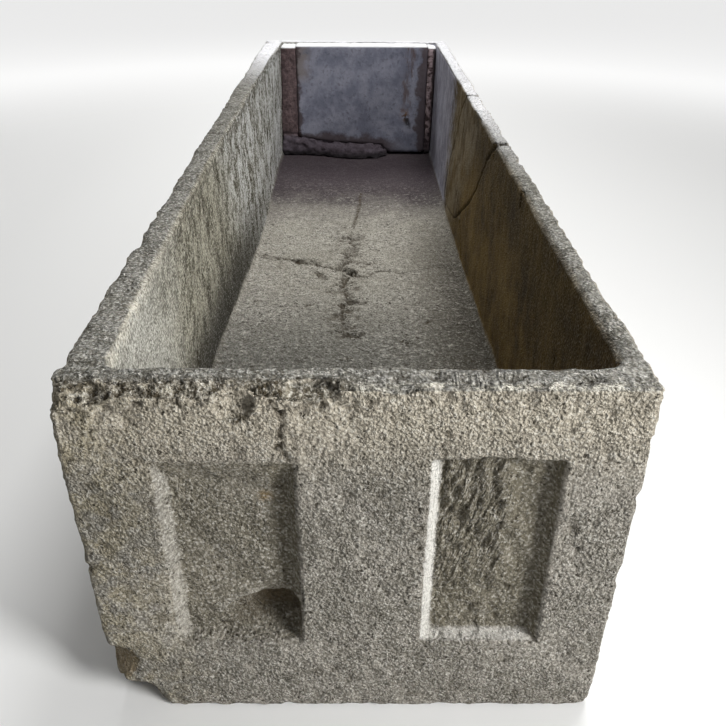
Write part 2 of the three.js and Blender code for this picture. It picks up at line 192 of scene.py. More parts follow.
def merged_copy(*nodes):
    """The solid of a node, or of two that are one piece of stuff, as one closed mesh."""
    mesh = bmesh.new()
    for node in nodes:
        mesh.from_mesh(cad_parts[node].data)
        bmesh.ops.remove_doubles(mesh, verts=mesh.verts, dist=1e-6)
    return mesh


def remeshed(solid, cell):
    """The solid as even quads of about the cell's size."""
    mesh = bpy.data.meshes.new("remeshed")
    solid.to_mesh(mesh)
    holder = bpy.data.objects.new("remeshed", mesh)
    bpy.context.collection.objects.link(holder)
    remesh = holder.modifiers.new("even cells", "REMESH")
    remesh.mode = "VOXEL"
    remesh.voxel_size = cell
    evaluated = holder.evaluated_get(bpy.context.evaluated_depsgraph_get())
    even = bmesh.new()
    even.from_mesh(evaluated.to_mesh())
    evaluated.to_mesh_clear()
    bpy.data.objects.remove(holder)
    bpy.data.meshes.remove(mesh)
    return even


def refine(mesh, wanted):
    """Halves the cells of the faces that are wanted."""
    edges = {edge for face in mesh.faces if wanted(face.calc_center_median()) for edge in face.edges}
    bmesh.ops.subdivide_edges(mesh, edges=list(edges), cuts=1, use_grid_fill=True)
    bmesh.ops.triangulate(mesh, faces=[face for face in mesh.faces if len(face.verts) > 4])


def settle(mesh, surface):
    """Evens out the cells and lays them back on the solid's surface."""
    every_way = {"use_axis_x": True, "use_axis_y": True, "use_axis_z": True}
    bmesh.ops.smooth_vert(mesh, verts=mesh.verts, factor=0.5, **every_way)
    for vert in mesh.verts:
        vert.co = surface.find_nearest(vert.co)[0]
    mesh.normal_update()


def finished(mesh, name, nodes):
    """The mesh as a smooth piece with this name, which takes the place of these nodes."""
    data = bpy.data.meshes.new(name)
    mesh.to_mesh(data)
    mesh.free()
    for polygon in data.polygons:
        polygon.use_smooth = True
    piece = bpy.data.objects.new(name, data)
    bpy.context.collection.objects.link(piece)
    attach(piece, "root")
    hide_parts(*nodes)
    return piece


def inside_trough(place):
    """Whether this place is on the trough's inner walls or floor."""
    return (
        abs(place.x) < half_width - wall * 0.5
        and near_y + wall * 0.85 < place.y < far_y - wall * 0.5
        and place.z > floor_z - wall * 0.5
    )


def line_distance(u, v, points):
    """How far a place on a face lies from a line of points on it."""
    nearest = 1.0
    for (u0, v0), (u1, v1) in zip(points, points[1:]):
        along_u, along_v = u1 - u0, v1 - v0
        share = ((u - u0) * along_u + (v - v0) * along_v) / (along_u ** 2 + along_v ** 2)
        share = min(max(share, 0.0), 1.0)
        away = ((u - u0 - share * along_u) ** 2 + (v - v0 - share * along_v) ** 2) ** 0.5
        nearest = min(nearest, away)
    return nearest


def marks_at(place):
    """The marks of the face that this place is on, and the place's coordinates on that face."""
    if place.y < near_y + front_depth and place.z < rim_z - 0.012:
        return front_marks, place.x, place.z
    if place.z > rim_z - 0.035:
        return rim_marks, place.x, place.y
    if not inside_trough(place):
        return [], 0.0, 0.0
    if place.z < floor_z + 0.02:
        return floor_marks, place.x, place.y
    if place.x < 0:
        return left_wall_marks, place.y, place.z
    return right_wall_marks, place.y, place.z


def mark_depth(place):
    """How deep the marks go here, and how close to the middle of one this is, from 0 to 1."""
    marks, u, v = marks_at(place)
    deepest, closeness = 0.0, 0.0
    for points, half, depth in marks:
        ragged = half * (1 + 0.9 * noise.noise(place / 0.011))
        share = 1 - smooth_step(line_distance(u, v, points), ragged * 0.3, ragged)
        share *= 0.35 + 0.65 * smooth_step(noise.noise(place / 0.0075), -0.25, 0.2)
        deepest = max(deepest, share * depth)
        closeness = max(closeness, share)
    return deepest, closeness


def near_mark(place):
    """Whether this place is on a mark or just beside one."""
    marks, u, v = marks_at(place)
    return any(line_distance(u, v, points) < half + mark_margin for points, half, _ in marks)


def pits(place, spacing, share):
    """Round pits this far apart: 1 at a pit's middle and 0 outside. Share is how many are open."""
    distances, points = noise.voronoi(place / spacing)
    if 0.5 + 0.5 * noise.cell(points[0] * 7.3) > share:
        return 0.0
    return 1.0 - smooth_step(distances[0], 0.1, 0.5)


def zones(place, out):
    """How far this place belongs to the rims, to the trough's walls and to its floor."""
    up = smooth_step(out.z, 0.35, 0.7)
    rim = up * smooth_step(place.z, rim_z - 0.07, rim_z - 0.04)
    if not inside_trough(place):
        return rim, 0.0, 0.0
    return rim, 1 - up, up * smooth_step(place.z, floor_z + 0.1, floor_z + 0.05)


def in_panel(place):
    """How far this place is sunk in one of the two panels, from 0 to 1."""
    across = max(
        smooth_step(place.x, left, left + arris) * smooth_step(place.x, right, right - arris)
        for left, right in (left_panel, right_panel)
    )
    up = smooth_step(place.z, panel_foot, panel_foot + arris)
    up *= smooth_step(place.z, panel_head, panel_head - arris)
    back = smooth_step(place.y, near_y + 0.002, near_y + 0.006) * (place.y < near_y + 0.036)
    return across * up * back


def chisel_strokes(place):
    """How deep the mason's strokes go in the right panel: long ones above, shorter ones below."""
    covered = smooth_step(place.x, 0.094, 0.104) * smooth_step(place.x, 0.205, 0.165)
    along = place.x * slant_sine + place.z * slant_cosine
    across = place.x * slant_cosine - place.z * slant_sine
    long_stroke = noise.noise(Vector((along * 38, across * 110, 3.0)))
    short_stroke = noise.noise(Vector((place.z * 70, place.x * 130, 8.0)))
    upper = smooth_step(place.z, 0.23, 0.28)
    long_depth = 0.0062 * upper * smooth_step(long_stroke, -0.2, 0.35)
    short_depth = 0.0034 * (1 - upper) * smooth_step(short_stroke, -0.2, 0.35)
    return covered * (long_depth + short_depth)


def below_ledge(place):
    """How far this place lies below the crest of the left panel's broken ledge, or -1 beside it."""
    for (x0, z0), (x1, z1) in zip(ledge_crest, ledge_crest[1:]):
        if x0 <= place.x < x1:
            crest = z0 + (z1 - z0) * (place.x - x0) / (x1 - x0) + 0.003 * noise.noise(place / 0.012)
            return crest - place.z
    return -1.0


def ledge(place):
    """How far the left panel's floor falls back under its broken ledge, less the lip over it."""
    below = below_ledge(place)
    strength = smooth_step(place.x, -0.185, -0.135) * smooth_step(place.x, -0.070, -0.076)
    lip = 0.0012 * smooth_step(below, -0.030, -0.004) * smooth_step(below, 0.002, -0.002)
    hollow = 0.0095 * smooth_step(below, -0.001, 0.004) * smooth_step(below, 0.068, 0.030)
    return strength * (hollow - lip)


def ledge_dirt(place):
    """How much painted shade darkens the hollow under the ledge, from 0 to 1."""
    below = below_ledge(place)
    hollow = smooth_step(below, 0.0, 0.005) * smooth_step(below, 0.066, 0.028)
    return hollow * smooth_step(place.x, -0.185, -0.115) * in_panel(place)


def panel_light(place, out):
    """How much painted highlight a place in a panel gets, from 0 to 1: most where a side or the foot faces
    the light.
    """
    light_side = smooth_step(out.x, 0.2, 0.5) * (1.0 if place.x > 0 else 0.41)
    light_foot = smooth_step(out.z, 0.3, 0.6) * (0.6 if place.x > 0 else 0.1)
    below = below_ledge(place)
    crest = smooth_step(below, -0.012, -0.002) * smooth_step(below, 0.003, 0.0)
    crest *= smooth_step(place.x, -0.185, -0.170) * smooth_step(place.x, -0.105, -0.130)
    return in_panel(place) * max(light_side, light_foot, 0.3 * crest)


def panel_shade(place):
    """How much stain and painted shade a place in a panel gets, from 0 to 1: most along the right side and
    under the ledge.
    """
    shade = 0.0
    for (left, right), reach, base in ((left_panel, 0.040, 0.62), (right_panel, 0.070, 0.82)):
        if left < place.x < right + 0.002:
            start = right - reach + 0.02 * (0.3 - place.z)
            shade = base + (0.86 - base) * smooth_step(place.x, start, start + 0.02)
            shade = max(shade, smooth_step(place.x, right - 0.020, right - 0.006))
    below = below_ledge(place)
    hollow = smooth_step(below, -0.001, 0.003) * smooth_step(below, 0.065, 0.026)
    shade = max(shade, (0.60 + 0.40 * smooth_step(place.x, -0.15, -0.09)) * hollow)
    return shade * in_panel(place)


def skin_wear(place):
    """How deep the swells, the roughness, the pores and the holes go here, and the dirt in them."""
    swells = noise.fractal(place / 0.075, 0.9, 2.1, 4) + 0.3
    rough = noise.fractal(place / 0.014, 0.7, 2.2, 3) + 0.35
    pores = pits(place, 0.0105, 0.32)
    holes = pits(place + Vector((0.3, 0.7, 0.1)), 0.027, 0.2)
    depth = 0.0016 * swells + 0.0011 * rough + 0.0015 * pores + 0.003 * holes
    return depth, 0.25 * pores + 0.4 * holes


def with_crags(place, depth, dirt):
    """The wear with the crags of the near rim, which go deeper and hold more dirt on the left."""
    share = smooth_step(place.y, near_y + 0.040, near_y + 0.018)
    share *= smooth_step(place.z, rim_z - 0.05, rim_z - 0.02)
    if share == 0:
        return depth, dirt
    left = smooth_step(place.x, 0.07, -0.03)
    crags = noise.fractal(place / 0.010, 0.75, 2.1, 3) + 0.6 * noise.noise(place / 0.034) + 0.15
    depth += share * (0.0032 + 0.0050 * left) * max(crags, -0.1)
    crag_dirt = share * (0.35 + 0.4 * left) * smooth_step(crags, 0.3, 0.9)
    return depth, max(dirt * (1 - 0.7 * share), crag_dirt)


def with_streaks(place, inner, depth, dirt):
    """The wear of the trough's walls, which is brushed downwards and holds less dirt."""
    streaks = noise.fractal(Vector((place.x * 34, place.y * 34, place.z * 14)), 0.9, 2.0, 3) + 0.3
    return depth + inner * (0.0014 * streaks - 0.6 * depth), dirt * (1 - 0.6 * inner)


def with_scales(place, floor, depth, dirt):
    """The wear of the floor, which is scaled all over and broken up along its middle."""
    scales = noise.fractal(Vector((place.x * 45, place.y * 75, 0)), 0.8, 2.1, 4) + 0.5
    off_middle = abs(place.x + 0.02 + 0.02 * noise.noise(place / 0.08))
    eroded = (1 - smooth_step(off_middle, 0.01, 0.06)) * smooth_step(abs(place.y + 0.02), 0.42, 0.25)
    broken = smooth_step(noise.fractal(place / 0.022, 0.8, 2.1, 3), 0.0, 0.6)
    depth += floor * (0.0028 * scales - 0.5 * depth + 0.008 * eroded * broken)
    return depth, dirt * (1 - 0.4 * floor) + 0.85 * eroded * broken * floor


def wear(place, inner, floor, edge):
    """How deep the skin is worn here, in metres, and how much dirt its hollows hold, from 0 to 1."""
    calm = smooth_step(place.y, break_y + 0.3, slab_y - 0.2) * (inner + floor)
    depth, dirt = with_crags(place, *skin_wear(place))
    if inner > 0:
        depth, dirt = with_streaks(place, inner, depth, dirt)
    if floor > 0:
        depth, dirt = with_scales(place, floor, depth, dirt)
    sunk = in_panel(place)
    depth = depth * (1 - 0.5 * sunk) + sunk * (chisel_strokes(place) + ledge(place))
    depth *= 1 - 0.65 * calm
    chipping = max(noise.noise(place / 0.022) + 0.6 * noise.noise(place / 0.06) + 0.1, 0)
    depth += edge * (0.0004 + 0.005 * chipping * (1 - 0.5 * calm))
    dirt *= 1 - 0.6 * sunk
    return max(depth, 0.0), min(dirt, 1.0) * (1 - 0.7 * calm)


def crumbled(place, seam):
    """How deep the edge of a break has crumbled this far from it, and how much dirt lies in it."""
    inside = inside_trough(place)
    faint = 0.0
    opening = 0.0045 if inside else 0.0038
    opening *= 0.3 + max(noise.noise(place / 0.05) + 0.4, 0)
    if inside and place.x > 0.2 and place.z > floor_z + 0.03:
        opening = 0.0042
    elif inside and place.z < floor_z + 0.03:
        faint = 0.5 * smooth_step(place.x, -0.02, 0.03) + 0.4 * smooth_step(place.x, 0.12, 0.17)
        opening *= 1.5 * (1 - faint)
    groove = 1 - smooth_step(seam, 0.0, 0.0030 + opening * 0.4)
    return opening * groove, 0.9 * groove * (1 - faint)


def bitten(place):
    """Where a point of the skin lies once the lower left corner is broken off, and whether it moved."""
    moved = False
    if place.x > -0.24 or place.z > 0.16 or place.y > near_y + 0.07:
        return place, moved
    for middle, reach in corner_bites:
        share = Vector([(p - m) / r for p, m, r in zip(place, middle, reach)])
        size = share.length * (1 + 0.16 * noise.noise(place / 0.022))
        if size < 1:
            place = middle + (place - middle) / max(size, 0.05)
            moved = True
    return place, moved


def worn(place, out, inward, seam, edge):
    """Where the skin has worn back to from here, and how much is painted on it under each name.

    Inward is how far this place lies behind the outer skin already, and seam how far from a break.
    """
    rim, inner, floor = zones(place, out)
    depth, dirt = wear(place, inner, floor, edge)
    mark, closeness = mark_depth(place)
    crack, crack_dirt = crumbled(place, seam)
    depth += max(mark, crack)
    # The dirt paint also carries the painted shade in the hollow under the left panel's ledge.
    dirt = max(dirt, closeness * (1 - 0.45 * rim), crack_dirt, ledge_dirt(place))
    worn_place, is_bitten = bitten(place - out * max(depth - inward, 0.0))
    if place.z > rim_z - 0.02:
        worn_place.z = min(worn_place.z, place.z)
    dirt = 0.7 if is_bitten else dirt
    return worn_place, (rim, inner, floor, dirt, panel_light(place, out), panel_shade(place))


def bulge(vert):
    """How sharply the skin turns outward at this vertex: 0 where flat, 1 on an arris."""
    around = [edge.other_vert(vert).co for edge in vert.link_edges]
    middle = sum(around, Vector()) / len(around)
    reach = sum((place - vert.co).length for place in around) / len(around)
    return smooth_step((vert.co - middle).dot(vert.normal) / reach, 0.06, 0.22)


def in_sight(place):
    """Whether the camera sees this place: the far part of the inside, the near end and the rims."""
    sight_line = rim_z - 0.02 - sight_fall * (place.y - near_y - 0.05)
    seen_inside = inside_trough(place) and place.z >= sight_line
    return seen_inside or place.y < near_y + near_wall or place.z > rim_z - rim_depth


def close_by(place):
    """Whether this place is on the near end's front or rim, or at a mark."""
    near_rim = place.y < near_y + near_wall and place.z > rim_z - rim_depth
    return place.y < near_y + front_depth or near_rim or near_mark(place)


solids = {node: merged_copy(node) for node in stone_nodes}
surfaces = {node: BVHTree.FromBMesh(solid) for node, solid in solids.items()}


def skin_of(node, others):
    """The stone's outer skin, without the faces of the breaks."""
    skin = solids[node].copy()
    inner_faces = [
        face for face in skin.faces
        if any(other.find_nearest(face.calc_center_median(), touching)[0] for other in others)
    ]
    bmesh.ops.delete(skin, geom=inner_faces, context="FACES")
    return BVHTree.FromBMesh(skin)


def stone(node):
    """The stone with its worn skin, in even cells that are finer where it is seen close."""
    others = [surface for name, surface in surfaces.items() if name != node]
    skin = skin_of(node, others)

    def gap(place):
        return min((other.find_nearest(place, widest_gap)[3] or widest_gap) for other in others)

    def seen(place):
        return in_sight(place) or gap(place) < fine_reach

    def seen_close(place):
        return close_by(place) or (inside_trough(place) and gap(place) < finest_reach)

    mesh = remeshed(solids[node], coarse_cell)
    settle(mesh, surfaces[node])
    for wanted in (seen, seen_close):
        refine(mesh, wanted)
        settle(mesh, surfaces[node])
    layers = [mesh.verts.layers.float.new(name) for name in painted_names]
    worn_places = []
    for vert in mesh.verts:
        _, skin_out, _, inward = skin.find_nearest(vert.co)
        seam = gap(vert.co)
        out = skin_out if seam < 0.006 else vert.normal
        edge = bulge(vert) if seam > 0.004 else 0.0
        worn_place, paints = worn(vert.co, out, inward, seam, edge)
        worn_places.append(worn_place)
        for layer, amount in zip(layers, paints):
            vert[layer] = amount
    for vert, worn_place in zip(mesh.verts, worn_places):
        vert.co = worn_place
    piece = finished(mesh, node + "_stone", [node])
    return piece


class Value:
    """A socket's value in a node tree, on which sums can be written."""

    def __init__(self, nodes, socket):
        self.nodes = nodes
        self.socket = socket

    def math(self, operation, *values):
        """A sum of two values, either of which may be a plain number."""
        return self.nodes.add("ShaderNodeMath", {"operation": operation}, dict(enumerate(values)), 0)

    def __add__(self, other):
        return self.math("ADD", self, other)

    def __radd__(self, other):
        return self.math("ADD", other, self)

    def __sub__(self, other):
        return self.math("SUBTRACT", self, other)

    def __rsub__(self, other):
        return self.math("SUBTRACT", other, self)

    def __mul__(self, other):
        return self.math("MULTIPLY", self, other)

    def __rmul__(self, other):
        return self.math("MULTIPLY", other, self)

    def smooth(self, start, end):
        """0 before start and 1 after end, or the other way round if end comes first."""
        values = {"Value": self, "From Min": min(start, end), "From Max": max(start, end)}
        values["To Min"], values["To Max"] = (0.0, 1.0) if start < end else (1.0, 0.0)
        return self.nodes.add("ShaderNodeMapRange", {"interpolation_type": "SMOOTHSTEP"}, values, "Result")


class Nodes:
    """The node tree of a material or of the room, under construction."""

    def __init__(self, tree):
        self.tree = tree

    def put(self, value, slot):
        """Links a value to a socket, or sets the socket to a number, a vector or a colour."""
        if isinstance(value, Value):
            self.tree.links.new(value.socket, slot)
        elif slot.type == "RGBA":
            slot.default_value = (*value, 1.0)
        else:
            slot.default_value = value

    def add(self, kind, settings, values, *outputs):
        """A node of this kind: its settings first, then its sockets' values or links. Gives its outputs."""
        node = self.tree.nodes.new(kind)
        for key, setting in settings.items():
            setattr(node, key, setting)
        for key, value in values.items():
            self.put(value, node.inputs[key])
        found = [Value(self, node.outputs[output]) for output in outputs]
        return found[0] if len(found) == 1 else found


class Finish(Nodes):
    """A material under construction."""

    def __init__(self, name, roughness):
        self.material = bpy.data.materials.new(name)
        self.material.use_nodes = True
        super().__init__(self.material.node_tree)
        self.feed("Roughness", roughness)
        self.feed("Specular IOR Level", 0.2)
        self.place = self.add("ShaderNodeTexCoord", {}, {}, "Object")

    def feed(self, name, value):
        """Gives the shader one of its values."""
        self.put(value, self.tree.nodes["Principled BSDF"].inputs[name])

    def axes(self):
        """The place's distance along each axis, in metres."""
        return self.add("ShaderNodeSeparateXYZ", {}, {0: self.place}, "X", "Y", "Z")

    def painted(self, name):
        """A value that the mesh holds at each of its points."""
        return self.add("ShaderNodeAttribute", {"attribute_name": name}, {}, "Fac")

    def noise(self, scale, detail, rough, place=None):
        """Cloudy noise with this many clouds to the metre."""
        values = {"Vector": place or self.place, "Scale": scale, "Detail": detail, "Roughness": rough}
        return self.add("ShaderNodeTexNoise", {}, values, "Fac")

    def cells(self, scale, *outputs):
        """Round grains packed close, as the distance from each one's middle or as a tint for each."""
        return self.add("ShaderNodeTexVoronoi", {}, {"Vector": self.place, "Scale": scale}, *outputs)

    def stretched(self, x, y, z):
        """The place with a scale for each axis, for grain that runs one way."""
        return self.add("ShaderNodeMapping", {}, {"Vector": self.place, "Scale": (x, y, z)}, "Vector")

    def mix(self, first, second, factor):
        """Two colours mixed by a factor. The node keeps its colours in sockets 6 and 7."""
        return self.add("ShaderNodeMix", {"data_type": "RGBA"}, {0: factor, 6: first, 7: second}, 2)

    def relief(self, height):
        """Bumps with this height in metres."""
        bumps = self.add("ShaderNodeBump", {}, {"Height": height, "Distance": 1.0}, "Normal")
        self.feed("Normal", bumps)


def band(value, start, end, soft):
    """1 from start to end, with an edge this soft."""
    return value.smooth(start - soft, start + soft) * value.smooth(end + soft, end - soft)


class Limestone(Finish):
    """The trough's stone: the grain that runs all through it, and the look of each of its parts."""

    def __init__(self):
        super().__init__("limestone", 0.93)
        self.x, self.y, self.z = self.axes()
        amounts = [self.painted(name) for name in painted_names]
        self.rim, self.inner, self.floor, self.dirt, self.pale, self.shade = amounts
        self.open_air = 1 - self.inner - self.floor
        self.calm = self.y.smooth(0.2, 0.9)
        self.patches = self.noise(7.0, 4.0, 0.6)
        self.blotches = self.noise(34.0, 4.0, 0.65)
        self.mottles = self.patches * 0.5 + self.blotches * 0.5
        self.lumps = self.noise(105.0, 3.0, 0.6)
        self.grain = self.noise(250.0, 2.0, 0.6)
        self.sand = self.grain * 0.78 + self.lumps * 0.22
        self.streaks = self.noise(1.0, 6.0, 0.72, self.stretched(27, 27, 15))
        distance, self.tints = self.cells(265.0, "Distance", "Color")
        self.grit = 0.9 - distance
        self.holes = self.cells(95.0, "Distance").smooth(0.24, 0.12) * self.blotches.smooth(0.46, 0.56)
        self.pores = self.noise(170.0, 2.0, 0.5)
        self.chunks = self.noise(1.0, 4.0, 0.7, self.stretched(100, 125, 100))
        self.crusty = self.floor * (1 - self.calm) * (0.4 + self.mottles.smooth(0.46, 0.56) * 0.6)

    def outside(self):
        """Grey, warmer at the top, olive at the left and in the panels' stain and painted shade, with
        painted highlights.
        """
        grey, light_grey, warm = (0.202, 0.188, 0.158), (0.315, 0.293, 0.253), (0.49, 0.44, 0.35)
        olive, painted_highlight, stain_and_shade = (0.30, 0.26, 0.165), (0.96, 0.94, 0.89), (0.105, 0.090, 0.055)
        rust = (0.20, 0.13, 0.05)
        colour = self.mix(grey, light_grey, self.mottles.smooth(0.36, 0.62))
        colour = self.mix(colour, warm, self.z.smooth(0.38, 0.50) * 0.85)
        at_left = self.x.smooth(-0.14, -0.34) * self.blotches.smooth(0.38, 0.58)
        colour = self.mix(colour, olive, at_left * 0.7)
        # Painted highlight on the panels' sides and foot that face the light, and along the ledge's crest.
        colour = self.mix(colour, painted_highlight, self.pale * 0.94)
        # Stain and painted shade in the panels: a painted shadow along their right sides and under the
        # ledge.
        colour = self.mix(colour, stain_and_shade, self.shade * 0.85)
        rusty = band(self.x, -0.112, -0.098, 0.006) * band(self.z, 0.362, 0.376, 0.006)
        rusty = rusty + band(self.x, -0.118, -0.085, 0.010) * band(self.z, 0.176, 0.199, 0.008)
        return self.mix(colour, rust, rusty * self.shade.smooth(0.1, 0.3) * 0.75)

    def rims(self):
        """Mottled grey, a brown crust at the near rim's left, painted highlights on its edge and, pale, at
        the far end.
        """
        dark, grey, light = (0.10, 0.098, 0.084), (0.21, 0.207, 0.188), (0.24, 0.235, 0.215)
        brown, tan = (0.052, 0.036, 0.015), (0.26, 0.228, 0.165)
        bright, pale = (0.60, 0.57, 0.48), (0.97, 0.97, 1.0)
        colour = self.mix(dark, grey, self.blotches.smooth(0.38, 0.60))
        near_rim = self.y.smooth(near_y + 0.07, near_y + 0.05)
        colour = self.mix(colour, light, near_rim * self.x.smooth(-0.05, 0.10) * 0.6)
        crust = self.mix(brown, tan, self.lumps.smooth(0.49, 0.64))
        outer_edge = self.y.smooth(near_y + 0.032, near_y + 0.014)
        colour = self.mix(colour, crust, outer_edge * self.x.smooth(0.04, -0.06) * 0.9)
        # A painted highlight along the crest of the near rim's outer edge.
        crest = band(self.y, near_y + 0.002, near_y + 0.016, 0.005) * self.lumps.smooth(0.44, 0.54)
        colour = self.mix(colour, bright, crest * (0.38 + self.x.smooth(0.0, 0.1) * 0.37))
        # A pale painted highlight towards the far end.
        return self.mix(colour, pale, (self.y + self.x * 1.2).smooth(-0.10, 0.60) * 0.96)

    def left_wall(self):
        """Brushed down and pale, painted highlights near the top and, cooler and paler, far off; painted
        shade at its foot.
        """
        near_grey, near_light = (0.35, 0.345, 0.30), (0.52, 0.51, 0.45)
        black, further_light = (0.045, 0.040, 0.022), (0.42, 0.40, 0.31)
        cool, painted_foot_shade = (0.76, 0.77, 0.76), (0.012, 0.011, 0.007)
        cream, umber = (0.62, 0.59, 0.50), (0.09, 0.085, 0.065)
        strokes = self.streaks * 0.5 + self.grain * 0.25 + self.lumps * 0.25
        colour = self.mix(near_grey, near_light, strokes.smooth(0.40, 0.60))
        further = self.mix(black, further_light, strokes.smooth(0.42, 0.57))
        colour = self.mix(colour, further, (self.y + self.patches * 0.3).smooth(-0.80, -0.45))
        # A cool painted highlight high up towards the far end.
        far_top = (self.y + self.z * 0.6).smooth(-0.1, 0.3) * strokes.smooth(0.45, 0.56)
        colour = self.mix(colour, cool, far_top * 0.9)
        # Painted shade along the foot, where the wall meets the floor.
        foot = self.z.smooth(floor_z + 0.20, floor_z + 0.04) * self.y.smooth(0.6, -0.2)
        colour = self.mix(colour, painted_foot_shade, foot * 0.97)
        # A cream painted highlight along the near top.
        near_top = self.z.smooth(rim_z - 0.034, rim_z - 0.014) * self.y.smooth(-0.65, -0.95)
        colour = self.mix(colour, cream, near_top * self.blotches.smooth(0.42, 0.52) * 0.8)
        under_rim = self.z.smooth(rim_z - 0.040, rim_z - 0.024) * self.y.smooth(-0.95, -0.65)
        return self.mix(colour, umber, under_rim * self.lumps.smooth(0.56, 0.46) * 0.7)

    def right_wall(self):
        """Stained brown and darkened by painted shade, golden up to its middle, dusty on the wedge, and
        bluish far off.
        """
        dark_brown, brown = (0.034, 0.018, 0.001), (0.088, 0.053, 0.006)
        gold, dust = (0.25, 0.16, 0.045), (0.30, 0.245, 0.16)
        blue_grey, light_blue = (0.27, 0.265, 0.32), (0.44, 0.44, 0.52)
        stains = self.patches * 0.55 + self.streaks * 0.25 + self.blotches * 0.2
        # The dark brown is partly stain and partly painted shade.
        colour = self.mix(dark_brown, brown, stains.smooth(0.36, 0.64))
        golden = band(self.y, -0.80, 0.30, 0.25) * self.z.smooth(0.48, 0.30) * stains.smooth(0.32, 0.64)
        colour = self.mix(colour, gold, golden * 0.7)
        wedge = band(self.y + self.z * 0.9, 0.42, 0.86, 0.05) * self.y.smooth(-0.10, 0.10)
        colour = self.mix(colour, dust, wedge * self.streaks.smooth(0.36, 0.60) * 0.6)
        # Bluish and lighter far off: partly the stone's own tone, partly painted light.
        bluish = self.mix(blue_grey, light_blue, self.streaks.smooth(0.40, 0.60))
        far_end = (self.y + (self.blotches - 0.5) * 0.3).smooth(0.42, 0.58)
        return self.mix(colour, bluish, far_end * 0.9)

    def bed(self):
        """The floor: painted shade near, pale in its middle, a painted shadow by the right wall, smooth and
        purplish far off.
        """
        dark, grey = (0.13, 0.128, 0.113), (0.21, 0.205, 0.182)
        light, white = (0.37, 0.35, 0.295), (0.58, 0.55, 0.48)
        umber, purple = (0.060, 0.050, 0.035), (0.022, 0.011, 0.022)
        mottled = self.mottles.smooth(0.36, 0.62)
        middle = self.mix(light, white, mottled)
        # Darker towards the near end, a painted shade.
        colour = self.mix(self.mix(dark, grey, mottled), middle, self.y.smooth(-0.50, -0.0))
        # A painted shadow of the right wall over the near half of the floor.
        near_right = self.x.smooth(0.05, 0.27) * self.y.smooth(0.55, 0.0)
        colour = self.mix(colour, umber, near_right * 0.75)
        # Purplish and darker far off: partly the stone's tone, partly painted shade.
        return self.mix(colour, purple, (self.y + self.patches * 0.4).smooth(0.44, 0.84) * 0.95)

    def grained(self, colour):
        """The colour with painted highlights on the grains that catch the light, and painted shade between
        them.
        """
        grain_shade, shadow, cream = (0.060, 0.052, 0.036), (0.050, 0.043, 0.030), (0.76, 0.72, 0.62)
        hollow, lit = (0.035, 0.028, 0.018), (0.76, 0.74, 0.68)
        crust_shade, crust_highlight, white = (0.040, 0.031, 0.020), (0.72, 0.69, 0.60), (0.98, 0.96, 0.91)
        right_wall = self.inner * self.x.smooth(-0.05, 0.05)
        strength = (1 - self.calm * 0.7) * (1 - right_wall * 0.6)
        between = 0.40 + self.rim * 0.25 + self.floor * 0.22 + self.inner * 0.25 - self.pale * 0.25
        # Painted shade between the grains and in the creases of the grit.
        colour = self.mix(colour, grain_shade, self.sand.smooth(0.53, 0.36) * strength * between)
        colour = self.mix(colour, shadow, self.grit.smooth(0.50, 0.26) * strength * 0.34)
        tinted = self.tints.smooth(0.62, 0.80) * self.open_air * (0.12 + self.rim * 0.06)
        colour = self.mix(colour, cream, tinted)
        holed = self.holes * (self.open_air * 0.7 + self.floor * 0.9) * (1 - self.calm)
        colour = self.mix(colour, hollow, holed)
        bright = self.open_air * 0.34 + self.rim * 0.08 + self.floor * 0.25 + self.inner * 0.30
        # Painted highlight on the grains.
        colour = self.mix(colour, lit, self.sand.smooth(0.50, 0.68) * strength * bright)
        # The floor's crust: painted shade in its low places and a painted highlight on its high ones.
        colour = self.mix(colour, crust_shade, self.chunks.smooth(0.45, 0.36) * self.crusty * 0.9)
        colour = self.mix(colour, crust_highlight, self.chunks.smooth(0.54, 0.64) * self.crusty * 0.55)
        colour = self.mix(colour, hollow, self.pores.smooth(0.36, 0.29) * self.open_air * 0.8)
        # A further painted highlight on the right panel's side that faces the light.
        return self.mix(colour, white, self.pale * self.x.smooth(0.0, 0.05) * 0.35)

    def soiled_and_shaded(self, colour):
        """The colour with dirt in the deeper places, tan in the bitten corner, and painted shade under the
        ledge.
        """
        soil_and_shade, floor_soil, tan = (0.050, 0.038, 0.022), (0.050, 0.034, 0.018), (0.155, 0.110, 0.055)
        corner = self.x.smooth(-0.265, -0.30) * self.z.smooth(0.16, 0.13)
        dirt_colour = self.mix(self.mix(soil_and_shade, floor_soil, self.floor), tan, corner)
        return self.mix(colour, dirt_colour, self.dirt * 0.85)

    def height(self):
        """The relief of the grain in metres, with the strokes of the tools in the near end."""
        clods = self.noise(48.0, 2.0, 0.5)
        dressed = self.patches.smooth(0.60, 0.50)
        outside = self.sand * 0.0068 + self.grit * 0.0028 - self.holes * 0.0022
        outside = outside * (1 - self.shade * 0.4) + clods * 0.010
        height = outside * (0.55 + dressed * 0.45) * self.open_air

        across = (self.x * slant_cosine - self.z * slant_sine) * 170
        along = (self.x * slant_sine + self.z * slant_cosine) * 45
        slanted = self.add("ShaderNodeCombineXYZ", {}, {"X": across, "Z": along}, "Vector")
        chiselled = band(self.x, 0.100, 0.185, 0.012) * self.z.smooth(0.19, 0.27)
        chiselled = chiselled * band(self.y, near_y + 0.012, near_y + 0.04, 0.003)
        height = height + self.noise(1.0, 2.0, 0.5, slanted) * chiselled * 0.017

        drawn = self.noise(1.0, 3.0, 0.6, self.stretched(25, 25, 200))
        drawn = drawn * self.z.smooth(0.14, 0.11) * self.x.smooth(0.05, 0.12)
        height = height + (drawn * 0.004 - self.pores.smooth(0.40, 0.29) * 0.0012) * self.open_air

